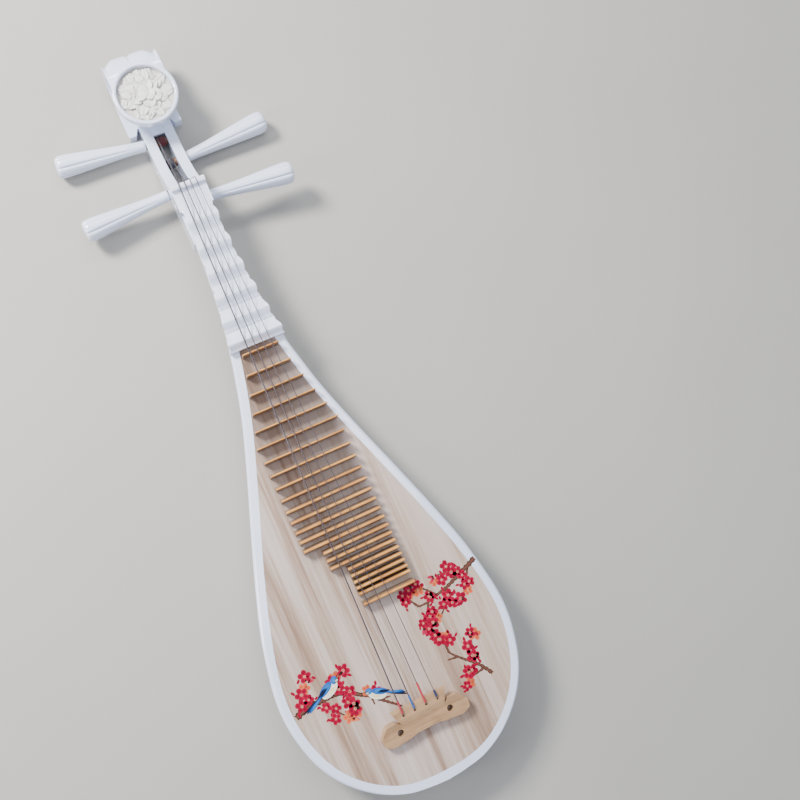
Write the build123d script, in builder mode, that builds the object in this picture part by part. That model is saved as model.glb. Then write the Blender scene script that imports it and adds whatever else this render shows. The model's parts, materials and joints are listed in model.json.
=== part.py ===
"""Pipa: a four-stringed Chinese lute with a hollow pear-shaped body, a curled head and four pegs.

The soundboard faces +Z, the head points to +Y and the tail to -Y. The origin is at the middle of the
footprint, at the lowest point of the back. Lengths along the instrument are given as distances from
the tail, and along() turns them into Y. All sizes are in millimetres.
"""
import os
from math import cos, radians, sin

from build123d import *

os.makedirs("parts", exist_ok=True)

# ---- driving dimensions -------------------------------------------------------------------------
total_length = 1000.0
soundboard_z = 62.0  # top of the soundboard, the rim and the neck
body_half_width = 156.3
body_depth = 54.5  # from the soundboard's top to the lowest point of the belly

# Distance from the tail, half width and depth of the body and the neck
body_stations = [
    (0.0, 26.0, 17.0),
    (8.0, 59.0, 25.0),
    (27.0, 94.0, 35.5),
    (60.0, 126.5, 44.5),
    (104.0, 147.5, 50.5),
    (166.0, body_half_width, body_depth),
    (241.0, 144.5, 54.0),
    (304.0, 126.0, 52.0),
    (379.0, 100.0, 48.5),
    (440.0, 78.0, 45.0),
    (504.0, 56.5, 41.0),
    (554.0, 43.4, 38.5),
    (590.0, 35.5, 37.0),
    (640.0, 27.2, 35.5),
    (690.0, 22.0, 34.5),
    (732.0, 19.6, 34.0),
]
rim_width = 12.0
rim_wall = 9.0  # straight part of the side below the rim's edge
back_wall = 6.0
cavity_inset = 19.0  # from the outline to the cavity, so that the soundboard has a ledge
soundboard_thickness = 5.0
soundboard_end = 587.0

string_top_nut = 18.9  # height of the strings' centres over the soundboard, at the nut and the bridge
string_top_bridge = 19.3
nut_position = 804.0
scale_length = 677.0
string_radii = [0.85, 0.7, 0.55, 0.45]
string_pitch_nut = 7.5
string_pitch_bridge = 15.6

xiang_count = 6
xiang_setback = 9.0  # the crests lie this far towards the tail of the tempered places
xiang_valley = 9.0
xiang_action = 3.0  # string centre to crest
xiang_start = 773.0

fret_steps = list(range(7, 30)) + [31]  # semitones over the open string
fret_base = 7.4
fret_top = 2.8
fret_action_first = 3.2
fret_action_last = 4.4
fret_right_first = 53.5
fret_right_last = 58.5

pegbox_half_width = 21.0
slot_half_width = 7.8
heel_end = 732.0
slot_end = 903.0
peg_places = [(886.0, -46.0), (854.0, -46.0), (815.0, -35.5), (791.0, -18.5)]
peg_sides = [-1, 1, -1, 1]  # the side of the handle
peg_tilts = [5.5, 5.5, -4.0, -4.0]  # degrees, tips towards the head
peg_tip_radius = 4.6
peg_head_radius = 6.1
peg_handle_start = 22.0
peg_handle_end = 138.0
peg_handle_radius = 14.4
peg_neck_radius = 6.9
bore_clearance = 0.05
winding_radius = 1.5  # thickness of the string's turns on the shaft

medallion_place = 933.0
ring_radius = 41.0
ring_inner_radius = 35.6
ring_depth = 10.0
plate_front = -8.0  # front face of the curl's free end, under the soundboard's level
head_half_width = 36.0

bridge_holes = 99.0
bridge_front = 109.0
bridge_tail = 68.0
bridge_top = 17.6
ear_top = 13.0


def along(distance):
    """Y of a place at a distance from the tail."""
    return distance - total_length / 2


def up(height):
    """Z of a height over the soundboard's top."""
    return soundboard_z + height


def save(part, name):
    part.label = name
    export_step(part, f"parts/{name}.step")


def half_width(distance):
    """Half width of the body or the neck between two stations."""
    for (d0, w0, _), (d1, w1, _) in zip(body_stations, body_stations[1:]):
        if d0 <= distance <= d1:
            return w0 + (w1 - w0) * (distance - d0) / (d1 - d0)
    return body_stations[-1][1]


def tempered(steps):
    """Distance from the tail of a fret so many semitones over the open string."""
    return nut_position - scale_length * (1 - 2 ** (-steps / 12))


def string_height(distance):
    """Height of the strings' centres over the soundboard."""
    share = (nut_position - distance) / (nut_position - bridge_holes)
    return string_top_nut + (string_top_bridge - string_top_nut) * share


def string_x(index, distance):
    """X of a string, 0 to 3 from the thickest on the left to the thinnest on the right."""
    share = (nut_position - distance) / (nut_position - bridge_holes)
    pitch = string_pitch_nut + (string_pitch_bridge - string_pitch_nut) * share
    return (index - 1.5) * pitch


def section_plane(distance):
    """An upright plane across the instrument, with its own x to +X and its y to +Z."""
    return Plane(origin=(0, along(distance), soundboard_z), x_dir=(1, 0, 0), z_dir=(0, -1, 0))


def body_section(distance, width, depth, top, wall):
    """A flat-topped section with upright sides and a half ellipse for its back."""
    side = top - min(wall, depth * 0.4)
    with BuildSketch(section_plane(distance)) as section:
        with BuildLine():
            Polyline((-width, side), (-width, top), (width, top), (width, side))
            EllipticalCenterArc((0, side), width, side + depth, start_angle=180, arc_size=180)
        make_face()
    return section.sketch


def inset_points(inset, last):
    """Points of the right half of the outline from the tail to a distance, moved inwards."""
    ends = [(0.0, 0.0)] + [(w, d) for d, w, _ in body_stations[1:]]
    points = []
    for before, here, after in zip(ends, ends[1:], ends[2:]):
        run = Vector(after[0] - before[0], after[1] - before[1]).normalized()
        points.append((here[0] - inset * run.Y, here[1] + inset * run.X))
    points = [(x, y) for x, y in points if y < last - 8]
    points.append((half_width(last) - inset, last))
    return [(x, along(y)) for x, y in points]


def plan_outline(inset, last):
    """The body's outline seen from the front, moved inwards and closed by a line at its head end."""
    right = inset_points(inset, last)
    left = [(-x, y) for x, y in reversed(right)]
    with BuildSketch() as outline:
        with BuildLine():
            Spline(*left, (0, along(inset)), *right)
            Line(right[-1], left[0])
        make_face()
    return outline.sketch


# ---- back and neck --------------------------------------------------------------------------------
with BuildPart() as back_and_neck:
    loft([body_section(place, width, depth, 0, rim_wall) for place, width, depth in body_stations])
    hollow = [
        body_section(place, width - cavity_inset, depth - back_wall, -soundboard_thickness, rim_wall)
        for place, width, depth in body_stations[2:12]
    ]
    loft(hollow, mode=Mode.SUBTRACT)
    with BuildSketch(Plane.XY.offset(up(-soundboard_thickness))):
        add(plan_outline(rim_width, soundboard_end))
    extrude(amount=soundboard_thickness, mode=Mode.SUBTRACT)
save(back_and_neck.part, "back_and_neck")

# ---- soundboard with its braces and post ------------------------------------------------------------
with BuildPart() as soundboard:
    with BuildSketch(Plane.XY.offset(up(-soundboard_thickness))):
        add(plan_outline(rim_width, soundboard_end))
    extrude(amount=soundboard_thickness)
save(soundboard.part, "soundboard")

brace_width = 9.0
brace_height = 11.0
brace_gap = 4.0
for name, place in (("lower_brace", 140), ("middle_brace", 270), ("upper_brace", 400)):
    with BuildPart() as brace:
        with BuildSketch(Plane.XY.offset(up(-soundboard_thickness))):
            with Locations((0, along(place))):
                Rectangle(2 * (half_width(place) - cavity_inset - brace_gap), brace_width)
        extrude(amount=-brace_height)
        bottom_edges = brace.edges().group_by(Axis.Z)[0].filter_by(Axis.Y)
        chamfer(bottom_edges, brace_height * 0.6)
    save(brace.part, name)

post_radius = 4.0
post_place = (38.0, 185.0)
with BuildPart() as sound_post:
    with BuildSketch(Plane.XY.offset(up(-soundboard_thickness))):
        with Locations((post_place[0], along(post_place[1]))):
            Circle(post_radius)
    extrude(amount=-body_depth + soundboard_thickness + 2)
    add(back_and_neck.part, mode=Mode.SUBTRACT)
save(sound_post.part, "sound_post")


# ---- pegs: one solid each, a tapered shaft and a long handle ---------------------------------------
def peg_plane(index):
    """A plane with its x along the peg towards the handle's end, its origin on the centre line."""
    place, height = peg_places[index]
    tilt = radians(peg_tilts[index])
    return Plane(
        origin=(0, along(place), up(height)),
        x_dir=(peg_sides[index] * cos(tilt), sin(tilt), 0),
        z_dir=(0, 0, 1),
    )


peg_tip_end = -(pegbox_half_width - 5.0)  # the tip stops inside the far cheek


def shaft_radius(run):
    """Radius of the tapered shaft at a run along the peg from the pegbox's middle."""
    share = (run - peg_tip_end) / (peg_handle_start - peg_tip_end)
    return peg_tip_radius + (peg_head_radius - peg_tip_radius) * share


peg_axes = []
for index in range(4):
    plane = peg_plane(index)
    axis = Axis(plane.origin, plane.x_dir)
    peg_axes.append(axis)
    with BuildPart() as peg:
        with BuildSketch(plane):
            with BuildLine():
                Polyline(
                    (peg_handle_start, 0),
                    (peg_tip_end, 0),
                    (peg_tip_end, shaft_radius(peg_tip_end)),
                    (peg_handle_start, shaft_radius(peg_handle_start)),
                    (peg_handle_start, peg_neck_radius),
                )
                Spline(
                    (peg_handle_start, peg_neck_radius),
                    (60.0, 9.6),
                    (100.0, 13.3),
                    (122.0, peg_handle_radius - 0.6),
                    (peg_handle_end, 5.0),
                    tangents=((1, 0.02), (-0.2, -1)),
                )
                Polyline((peg_handle_end, 5.0), (peg_handle_end, 0), (peg_handle_start, 0))
            make_face()
        revolve(axis=axis)
    save(peg.part, f"peg_{index + 1}")

# ---- string windings on the shafts -----------------------------------------------------------------
winding_runs = [(-5.0, 3.5), (-5.5, 4.5), (-4.5, 4.0), (-5.5, 4.5)]
for index, (first, last) in enumerate(winding_runs):
    plane = peg_plane(index)
    with BuildPart() as winding:
        with BuildSketch(plane):
            with BuildLine():
                Polyline(
                    (first, shaft_radius(first)),
                    (last, shaft_radius(last)),
                    (last, shaft_radius(last) + winding_radius),
                    (first, shaft_radius(first) + winding_radius),
                    close=True,
                )
            make_face()
        revolve(axis=peg_axes[index])
    save(winding.part, f"winding_{index + 1}")

# ---- pegbox with its heel block -----------------------------------------------------------------------
heel_depth = 38.0
pocket_floor = -30.5
pocket_roof = -6.0
slot_back_start = 805.5
front_edge = [(806, 0), (822, -15), (845, -28), (875, -35.5), (912, -38)]
back_edge = [(912, -62), (880, -61.5), (856, -59.4), (836, -55.4), (815, -48.5), (794, -41), (772, -38)]


def side_point(place):
    """A point of a side profile, on a plane whose x is Y and whose y is Z."""
    return (along(place[0]), up(place[1]))


def facet_triangle(side, distance, size):
    """The corner that a facet takes off the heel block's back edge."""
    edge = side * (pegbox_half_width + 0.5)
    with BuildSketch(section_plane(distance)) as corner:
        with BuildLine():
            Polyline(
                (edge, -heel_depth - 8),
                (edge - side * (size + 8), -heel_depth - 8),
                (edge, -heel_depth + size + 0.5),
                close=True,
            )
        make_face()
    return corner.sketch


side_plane = Plane(origin=(0, 0, 0), x_dir=(0, 1, 0), z_dir=(1, 0, 0))
with BuildPart() as pegbox:
    with BuildSketch(side_plane):
        with BuildLine():
            Line(side_point((heel_end, 0)), side_point(front_edge[0]))
            Spline(*[side_point(p) for p in front_edge], tangents=((0.75, -1), (1, 0)))
            Line(side_point(front_edge[-1]), side_point(back_edge[0]))
            Spline(*[side_point(p) for p in back_edge], tangents=((-1, 0), (-1, 0)))
            Polyline(
                side_point(back_edge[-1]),
                side_point((heel_end, -heel_depth)),
                side_point((heel_end, 0)),
            )
        make_face()
    extrude(amount=pegbox_half_width, both=True)
    for side in (-1, 1):
        loft([facet_triangle(side, heel_end - 1, 7.0), facet_triangle(side, 803, 0.5)], mode=Mode.SUBTRACT)
    with BuildSketch(Plane.XY.offset(up(10))):
        with Locations((0, (along(slot_back_start) + along(slot_end)) / 2)):
            Rectangle(2 * slot_half_width, slot_end - slot_back_start)
    extrude(amount=-90, mode=Mode.SUBTRACT)
    with BuildSketch(side_plane):
        with BuildLine():
            Polyline(
                side_point((781, pocket_floor)),
                side_point((781, pocket_roof)),
                side_point((806, pocket_roof)),
                side_point((806, 2)),
                side_point((slot_back_start + 5, 2)),
                side_point((slot_back_start + 5, -28)),
                side_point((slot_back_start, pocket_floor)),
                close=True,
            )
        make_face()
    extrude(amount=slot_half_width, both=True, mode=Mode.SUBTRACT)
    for index in range(4):
        plane = peg_plane(index)
        reach = pegbox_half_width + 8
        with BuildSketch(plane):
            with BuildLine():
                Polyline(
                    (-reach, 0),
                    (reach, 0),
                    (reach, shaft_radius(reach) + bore_clearance),
                    (peg_tip_end, shaft_radius(peg_tip_end) + bore_clearance),
                    (-reach, shaft_radius(peg_tip_end) + bore_clearance),
                    close=True,
                )
            make_face()
        revolve(axis=peg_axes[index], mode=Mode.SUBTRACT)
save(pegbox.part, "pegbox")

# ---- head: a band that curls forwards over the top, with the carved disc on its free end ----------------
band_back = [(912, -62), (935, -61.5), (965, -57), (988, -45)]
band_top = (1000, -27)
band_front = [(991, -13), (975, plate_front), (medallion_place, plate_front)]
hollow_front = [(medallion_place, -15), (966, -16)]
hollow_back = [(984, -29), (974, -41), (952, -48.5), (930, -50)]
with BuildPart() as head_scroll:
    with BuildSketch(side_plane):
        with BuildLine():
            outer = [side_point(p) for p in (*band_back, band_top, *band_front[:-1])]
            Spline(*outer, tangents=((1, 0), (-1, 0)))
            Line(side_point(band_front[-2]), side_point((895, plate_front)))
            Line(side_point((895, plate_front)), side_point((895, -15)))
            Line(side_point((895, -15)), side_point(hollow_front[-1]))
            inner = [side_point(p) for p in (hollow_front[-1], *hollow_back)]
            Spline(*inner, tangents=((1, 0), (-1, 0)))
            Polyline(
                side_point(hollow_back[-1]),
                side_point((912, -44)),
                side_point((912, -62)),
            )
        make_face()
    extrude(amount=head_half_width, both=True)
    with BuildSketch(Plane.XY):
        with Locations((0, along(medallion_place))):
            Circle(head_half_width)
        with BuildLine():
            Polyline(
                (-head_half_width, along(medallion_place)),
                (head_half_width, along(medallion_place)),
                (head_half_width, along(1010)),
                (-head_half_width, along(1010)),
                close=True,
            )
        make_face()
        with BuildLine():
            Polyline(
                (-26, along(912)),
                (26, along(912)),
                (head_half_width, along(925)),
                (head_half_width, along(950)),
                (-head_half_width, along(950)),
                (-head_half_width, along(925)),
                close=True,
            )
        make_face()
    extrude(amount=200, both=True, mode=Mode.INTERSECT)
save(head_scroll.part, "head_scroll")

with BuildPart() as medallion_ring:
    with BuildSketch(Plane.XY.offset(up(plate_front))):
        with Locations((0, along(medallion_place))):
            Circle(ring_radius)
            Circle(ring_inner_radius, mode=Mode.SUBTRACT)
    extrude(amount=ring_depth)
    fillet(medallion_ring.faces().sort_by(Axis.Z)[-1].edges(), 2.2)
save(medallion_ring.part, "medallion_ring")

disc_thickness = 8.0
with BuildPart() as medallion:
    with BuildSketch(Plane.XY.offset(up(plate_front))):
        with Locations((0, along(medallion_place))):
            Circle(ring_inner_radius)
    extrude(amount=disc_thickness)
    fillet(medallion.faces().sort_by(Axis.Z)[-1].edges(), 1.5)
save(medallion.part, "medallion")

# ---- nut ---------------------------------------------------------------------------------------------
nut_half_width = 22.5
nut_crest = 18.0
with BuildPart() as nut:
    with BuildSketch(side_plane):
        with BuildLine():
            Line(side_point((806, 0)), side_point((806, 14)))
            Spline(
                side_point((806, 14)),
                side_point((803, nut_crest)),
                side_point((798, nut_crest - 1.8)),
                side_point((787, 11)),
                tangents=((0, 1), (-1, -0.1)),
            )
            Polyline(
                side_point((787, 11)),
                side_point((xiang_start, 10.5)),
                side_point((xiang_start, 0)),
                side_point((806, 0)),
            )
        make_face()
    extrude(amount=nut_half_width, both=True)
save(nut.part, "nut")

# ---- xiang: the six wedge frets on the neck -------------------------------------------------------------
crests = [tempered(step) - xiang_setback for step in range(1, xiang_count + 1)]
valleys = [(a + b) / 2 for a, b in zip(crests, crests[1:])]
starts = [xiang_start] + valleys
ends = valleys + [soundboard_end]


def neck_half_width(distance):
    """Half width of the wedges' base, level with the neck's edge or a little inside it."""
    return max(half_width(min(distance, 731)) - 0.6, 19.0)


def cross_rectangle(distance, height):
    """An upright rectangle across the neck, standing on its top."""
    with BuildSketch(section_plane(distance)) as section:
        with Locations((0, height / 2)):
            Rectangle(2 * neck_half_width(distance), height)
    return section.sketch


for index, (start, crest, end) in enumerate(zip(starts, crests, ends)):
    crest_height = string_height(crest) - xiang_action
    with BuildPart() as xiang:
        loft(
            [
                cross_rectangle(start, xiang_valley),
                cross_rectangle(crest, crest_height),
                cross_rectangle(end, xiang_valley),
            ],
            ruled=True,
        )
        crest_edge = xiang.edges().filter_by(Axis.X).group_by(Axis.Z)[-1]
        fillet(crest_edge, 3.0)
    save(xiang.part, f"xiang_{index + 1}")

# ---- pin: the twenty-four bamboo frets on the soundboard -------------------------------------------------
fret_left_ends = {7: 24.0, 8: 29.5, 9: 36.0, 10: 42.5, 11: 48.5, 12: 54.5}
for index, steps in enumerate(fret_steps):
    place = tempered(steps)
    share = index / (len(fret_steps) - 1)
    action = fret_action_first + (fret_action_last - fret_action_first) * share
    height = string_height(place) - action
    if steps in fret_left_ends:
        right = fret_left_ends[steps]
        left = right
    else:
        right = fret_right_first + (fret_right_last - fret_right_first) * share
        left = 53.0 if steps < 22 else 31.5 if steps < 25 else 11.5
    with BuildPart() as fret:
        with BuildSketch(Plane(origin=(-left, 0, 0), x_dir=(0, 1, 0), z_dir=(1, 0, 0))):
            with BuildLine():
                Polyline(
                    side_point((place - fret_base / 2, 0)),
                    side_point((place + fret_base / 2, 0)),
                    side_point((place + fret_top / 2, height)),
                    side_point((place - fret_top / 2, height)),
                    close=True,
                )
            make_face()
        extrude(amount=left + right)
        top_edges = fret.edges().filter_by(Axis.X).group_by(Axis.Z)[-1]
        fillet(top_edges, fret_top * 0.42)
    save(fret.part, f"fret_{index + 1:02d}")

# ---- bridge ---------------------------------------------------------------------------------------------
ear_hole = (34.0, 81.0)
ear_hole_radius = 4.2
string_hole_radius = 1.3
with BuildPart() as bridge:
    with BuildSketch(Plane.XY.offset(soundboard_z)) as bridge_plan:
        right = [
            (37.5, bridge_front),
            (29.5, 89.5),
            (36.0, 95.0),
            (49.0, 94.0),
            (58.7, 82.0),
            (58.0, 71.0),
            (47.0, 67.0),
            (24.0, 69.0),
            (15.0, 71.5),
        ]
        left = [(-x, d) for x, d in reversed(right)]
        with BuildLine():
            Polyline(*[(x, along(d)) for x, d in right + left], close=True)
        make_face()
        ear_corners = [v for v in bridge_plan.vertices() if abs(v.X) > 40]
        fillet(ear_corners, 5.0)
        fillet([v for v in bridge_plan.vertices() if 33 < abs(v.X) < 37], 3.0)
    extrude(amount=bridge_top + 2)
    with BuildSketch(side_plane):
        with BuildLine():
            Polyline(
                side_point((bridge_tail - 5, 0)),
                side_point((bridge_tail - 5, ear_top - 1.5)),
                side_point((bridge_tail + 18, ear_top + 1.5)),
                side_point((bridge_front - 14, bridge_top)),
                side_point((bridge_front + 1, bridge_top)),
                side_point((bridge_front + 1, bridge_top - 5.5)),
                side_point((bridge_front - 9, bridge_top - 8.5)),
                side_point((bridge_front - 15, 0)),
                close=True,
            )
        make_face()
    extrude(amount=80, both=True, mode=Mode.INTERSECT)
    with BuildSketch(Plane.XY.offset(up(-1))):
        with Locations(*[(s * ear_hole[0], along(ear_hole[1])) for s in (-1, 1)]):
            Circle(ear_hole_radius)
        with Locations(*[(string_x(i, bridge_holes), along(bridge_holes)) for i in range(4)]):
            Circle(string_hole_radius)
    extrude(amount=40, mode=Mode.SUBTRACT)
save(bridge.part, "bridge")

# ---- strings: from inside the bridge's holes, over the nut, to the windings ----------------------------
hole_end_height = 10.5
winding_gap = 0.4
nut_bend = 806.0
peg_entries = [(809.5, 12.5), (809.5, 12.0), (809.2, 11.0), (808.4, 10.0)]
string_exits = [-4.0, 2.5, 1.5, 4.5]  # X where each string reaches its winding
pocket_turn = (808.2, -7.5)
nut_gap = 0.05


def touching_point(start, centre, radius):
    """Where a straight run from start would touch a circle round centre, on its head side."""
    reach = Vector(centre[0] - start[0], centre[1] - start[1])
    along_run = (reach.length**2 - radius**2) ** 0.5
    share = along_run / reach.length
    lift = radius / reach.length
    run = Vector(reach.X * share - reach.Y * lift, reach.Y * share + reach.X * lift)
    return (start[0] + run.X * share, start[1] + run.Y * share)


def string_point(x, place):
    return (x, along(place[0]), up(place[1]))


def playing_run(index):
    """The two ends of a string's straight run, over its hole in the bridge and over the nut."""
    over_hole = string_point(string_x(index, bridge_holes), (bridge_holes, string_top_bridge))
    over_nut = (nut_bend, nut_crest + string_radii[index] + nut_gap)
    return over_hole, string_point(string_x(index, nut_position), over_nut)


for index, radius in enumerate(string_radii):
    place, height = peg_places[index]
    nut_x = string_x(index, nut_position)
    exit_x = string_exits[index]
    entry_x = nut_x + (exit_x - nut_x) * (0.3 if index < 3 else 0.5)
    entry = peg_entries[index]
    keep_off = shaft_radius(0) + winding_radius + radius + winding_gap
    over_hole, over_nut = playing_run(index)
    points = [
        string_point(over_hole[0], (bridge_holes, hole_end_height)),
        over_hole,
        over_nut,
        string_point(entry_x, entry),
    ]
    radii = [2.4, 2.0]
    turn = entry
    if index == 3:
        points.append(string_point(exit_x + 0.5, pocket_turn))
        radii.append(3.0)
        turn = pocket_turn
    end = touching_point(turn, (place, height), keep_off)
    points.append(string_point(exit_x, end))
    radii.append(3.0)
    with BuildPart() as string:
        with BuildLine():
            FilletPolyline(*points, radius=radii)
        with BuildSketch(Plane(origin=points[0], z_dir=(0, 0, 1))):
            Circle(radius)
        sweep()
    save(string.part, f"string_{index + 1}")

# ---- coloured thread wound round each string beside its hole --------------------------------------------
wrap_radius = 1.5
wrap_start = 3.0  # from the hole along the string
wrap_ends = [20.5, 20.5, 29.5, 12.5]
for index, (radius, wrap_end) in enumerate(zip(string_radii, wrap_ends)):
    over_hole, over_nut = playing_run(index)
    run = (Vector(over_nut) - Vector(over_hole)).normalized()
    with BuildPart() as wrap:
        with BuildSketch(Plane(origin=Vector(over_hole) + run * wrap_start, z_dir=run)):
            Circle(wrap_radius)
            Circle(radius, mode=Mode.SUBTRACT)
        extrude(amount=wrap_end - wrap_start)
    save(wrap.part, f"string_wrap_{index + 1}")
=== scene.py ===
"""A pipa lying on its back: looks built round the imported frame, in metres."""

import json
import math
import random

import bmesh
import bpy
from mathutils import Matrix, Vector

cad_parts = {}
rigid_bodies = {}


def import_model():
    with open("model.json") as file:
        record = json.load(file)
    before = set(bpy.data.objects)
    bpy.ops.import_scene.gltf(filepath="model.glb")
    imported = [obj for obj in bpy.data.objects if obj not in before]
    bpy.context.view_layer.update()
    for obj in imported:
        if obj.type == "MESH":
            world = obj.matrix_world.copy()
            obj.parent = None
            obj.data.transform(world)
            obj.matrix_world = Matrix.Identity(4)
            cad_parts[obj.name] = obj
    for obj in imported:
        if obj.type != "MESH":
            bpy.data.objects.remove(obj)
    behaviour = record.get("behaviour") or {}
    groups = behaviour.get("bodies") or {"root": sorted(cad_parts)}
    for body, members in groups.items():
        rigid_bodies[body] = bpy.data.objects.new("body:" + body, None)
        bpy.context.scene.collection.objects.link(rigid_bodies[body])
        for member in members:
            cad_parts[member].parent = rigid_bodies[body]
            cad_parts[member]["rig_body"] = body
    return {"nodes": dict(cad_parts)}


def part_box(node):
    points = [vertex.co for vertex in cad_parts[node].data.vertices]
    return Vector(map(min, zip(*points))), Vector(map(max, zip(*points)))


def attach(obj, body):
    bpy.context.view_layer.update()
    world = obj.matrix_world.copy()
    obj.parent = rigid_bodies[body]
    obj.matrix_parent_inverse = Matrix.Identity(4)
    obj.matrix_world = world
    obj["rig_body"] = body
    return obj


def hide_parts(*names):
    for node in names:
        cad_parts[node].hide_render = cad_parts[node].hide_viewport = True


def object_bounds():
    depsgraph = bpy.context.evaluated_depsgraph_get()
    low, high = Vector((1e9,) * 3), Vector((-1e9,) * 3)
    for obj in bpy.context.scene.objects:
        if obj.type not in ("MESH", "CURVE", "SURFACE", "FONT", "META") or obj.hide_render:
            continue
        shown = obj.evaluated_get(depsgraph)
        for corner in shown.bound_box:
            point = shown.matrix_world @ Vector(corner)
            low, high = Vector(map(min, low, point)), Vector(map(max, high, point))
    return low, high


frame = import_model()
cad_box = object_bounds()
MM = 0.001
# where finishes change over a surface, in metres
# the board under the frets carries painted shade from the frets together with grime
SHADE_AND_GRIME_RUN, SHADE_AND_GRIME_WIDTH = (-0.24, -0.02), (0.045, 0.062)  # the board under the frets
# the fret sides below the skin carry painted shade
FRET_SHADE_TO_SKIN = (0.0725, 0.0758)  # heights from flesh to skin
DISC_HOLLOW_SHADE = (0.0562, 0.0605)  # heights from the painted shade in the hollows to the petals


# ---------------------------------------------------------------- shader tools
class Wire:
    """A shader value; Python arithmetic on it adds Math nodes."""

    def __init__(self, finish, socket):
        self.finish, self.socket = finish, socket

    def _math(self, operation, first, second):
        return self.finish.node("ShaderNodeMath", {"operation": operation}, {0: first, 1: second})

    def __add__(self, other):
        return self._math("ADD", self, other)

    def __sub__(self, other):
        return self._math("SUBTRACT", self, other)

    def __rsub__(self, other):
        return self._math("SUBTRACT", other, self)

    def __mul__(self, other):
        return self._math("MULTIPLY", self, other)

    __radd__, __rmul__ = __add__, __mul__


class Finish:
    """One material: a Principled shader with constants set and patterns linked."""

    def __init__(self, name, **constants):
        self.material = bpy.data.materials.new(name)
        self.material.use_nodes = True
        self.tree = self.material.node_tree
        self.shader = self.tree.nodes["Principled BSDF"]
        for socket, value in constants.items():
            self.feed(socket.replace("_", " "), value)

    def node(self, kind, settings=None, inputs=None, output=0):
        made = self.tree.nodes.new(kind)
        for key, value in (settings or {}).items():
            if key == "stops":
                ramp = made.color_ramp
                while len(ramp.elements) < len(value):
                    ramp.elements.new(0.5)
                for element, (place, colour) in zip(ramp.elements, value):
                    element.position, element.color = place, (*colour, 1)
            else:
                setattr(made, key, value)
        for key, value in (inputs or {}).items():
            self.join(made.inputs[key], value)
        return Wire(self, made.outputs[output])

    def join(self, socket, value):
        if isinstance(value, Wire):
            self.tree.links.new(value.socket, socket)
        elif isinstance(value, tuple) and len(value) == 3 and socket.type == "RGBA":
            socket.default_value = (*value, 1)
        else:
            socket.default_value = value

    def feed(self, name, value):
        self.join(self.shader.inputs[name], value)

    def place(self, scale=(1, 1, 1), turn=(0, 0, 0), shift=(0, 0, 0)):
        """Object coordinates, scaled (per metre), turned and shifted."""
        spot = self.node("ShaderNodeTexCoord", output="Object")
        return self.node("ShaderNodeMapping", {"vector_type": "POINT"},
                         {"Vector": spot, "Scale": scale, "Rotation": turn, "Location": shift})

    def axis(self, letter):
        """One Object coordinate, in metres."""
        return self.node("ShaderNodeSeparateXYZ", None, {0: self.place()}, output="XYZ".index(letter))

    def noise(self, vector, scale, detail=3, roughness=0.5, distortion=0.0):
        return self.node("ShaderNodeTexNoise", None,
                         {"Vector": vector, "Scale": scale, "Detail": detail,
                          "Roughness": roughness, "Distortion": distortion})

    def ramp(self, factor, *stops):
        return self.node("ShaderNodeValToRGB", {"stops": stops}, {0: factor})

    def fade(self, value, low, high, start=0.0, end=1.0):
        """Smoothly from start to end as value goes from low to high."""
        return self.node("ShaderNodeMapRange", {"interpolation_type": "SMOOTHSTEP"},
                         {"Value": value, "From Min": low, "From Max": high,
                          "To Min": start, "To Max": end})

    def mix(self, factor, first, second, way="MIX"):
        return self.node("ShaderNodeMix", {"data_type": "RGBA", "blend_type": way},
                         {0: factor, 6: first, 7: second}, output=2)

    def bump(self, height, distance, strength=1.0, under=None):
        inputs = {"Height": height, "Distance": distance, "Strength": strength}
        if under:
            inputs["Normal"] = under
        return self.node("ShaderNodeBump", None, inputs)


def white_lacquer(name, tint=(0.72, 0.775, 0.92), roughness=0.10):
    """Sprayed gloss white: faint cloudiness, orange peel and handling smears."""
    f = Finish(name, Coat_Roughness=0.03, IOR=1.5)
    spot = f.place()
    cloud = f.noise(spot, 14, 3)
    f.feed("Base Color", f.ramp(cloud, (0.3, tuple(c * 0.965 for c in tint)), (0.7, tint)))
    smear = f.noise(f.place(scale=(60, 12, 40)), 1.0, 4, 0.6)
    f.feed("Roughness", f.fade(smear, 0.35, 0.75, roughness, roughness + 0.10))
    f.feed("Coat Weight", f.fade(smear, 0.45, 0.8, 1.0, 0.75))
    peel = f.noise(spot, 420, 2)
    f.feed("Normal", f.bump(peel, 0.00002, 0.5))
    return f.material


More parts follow.
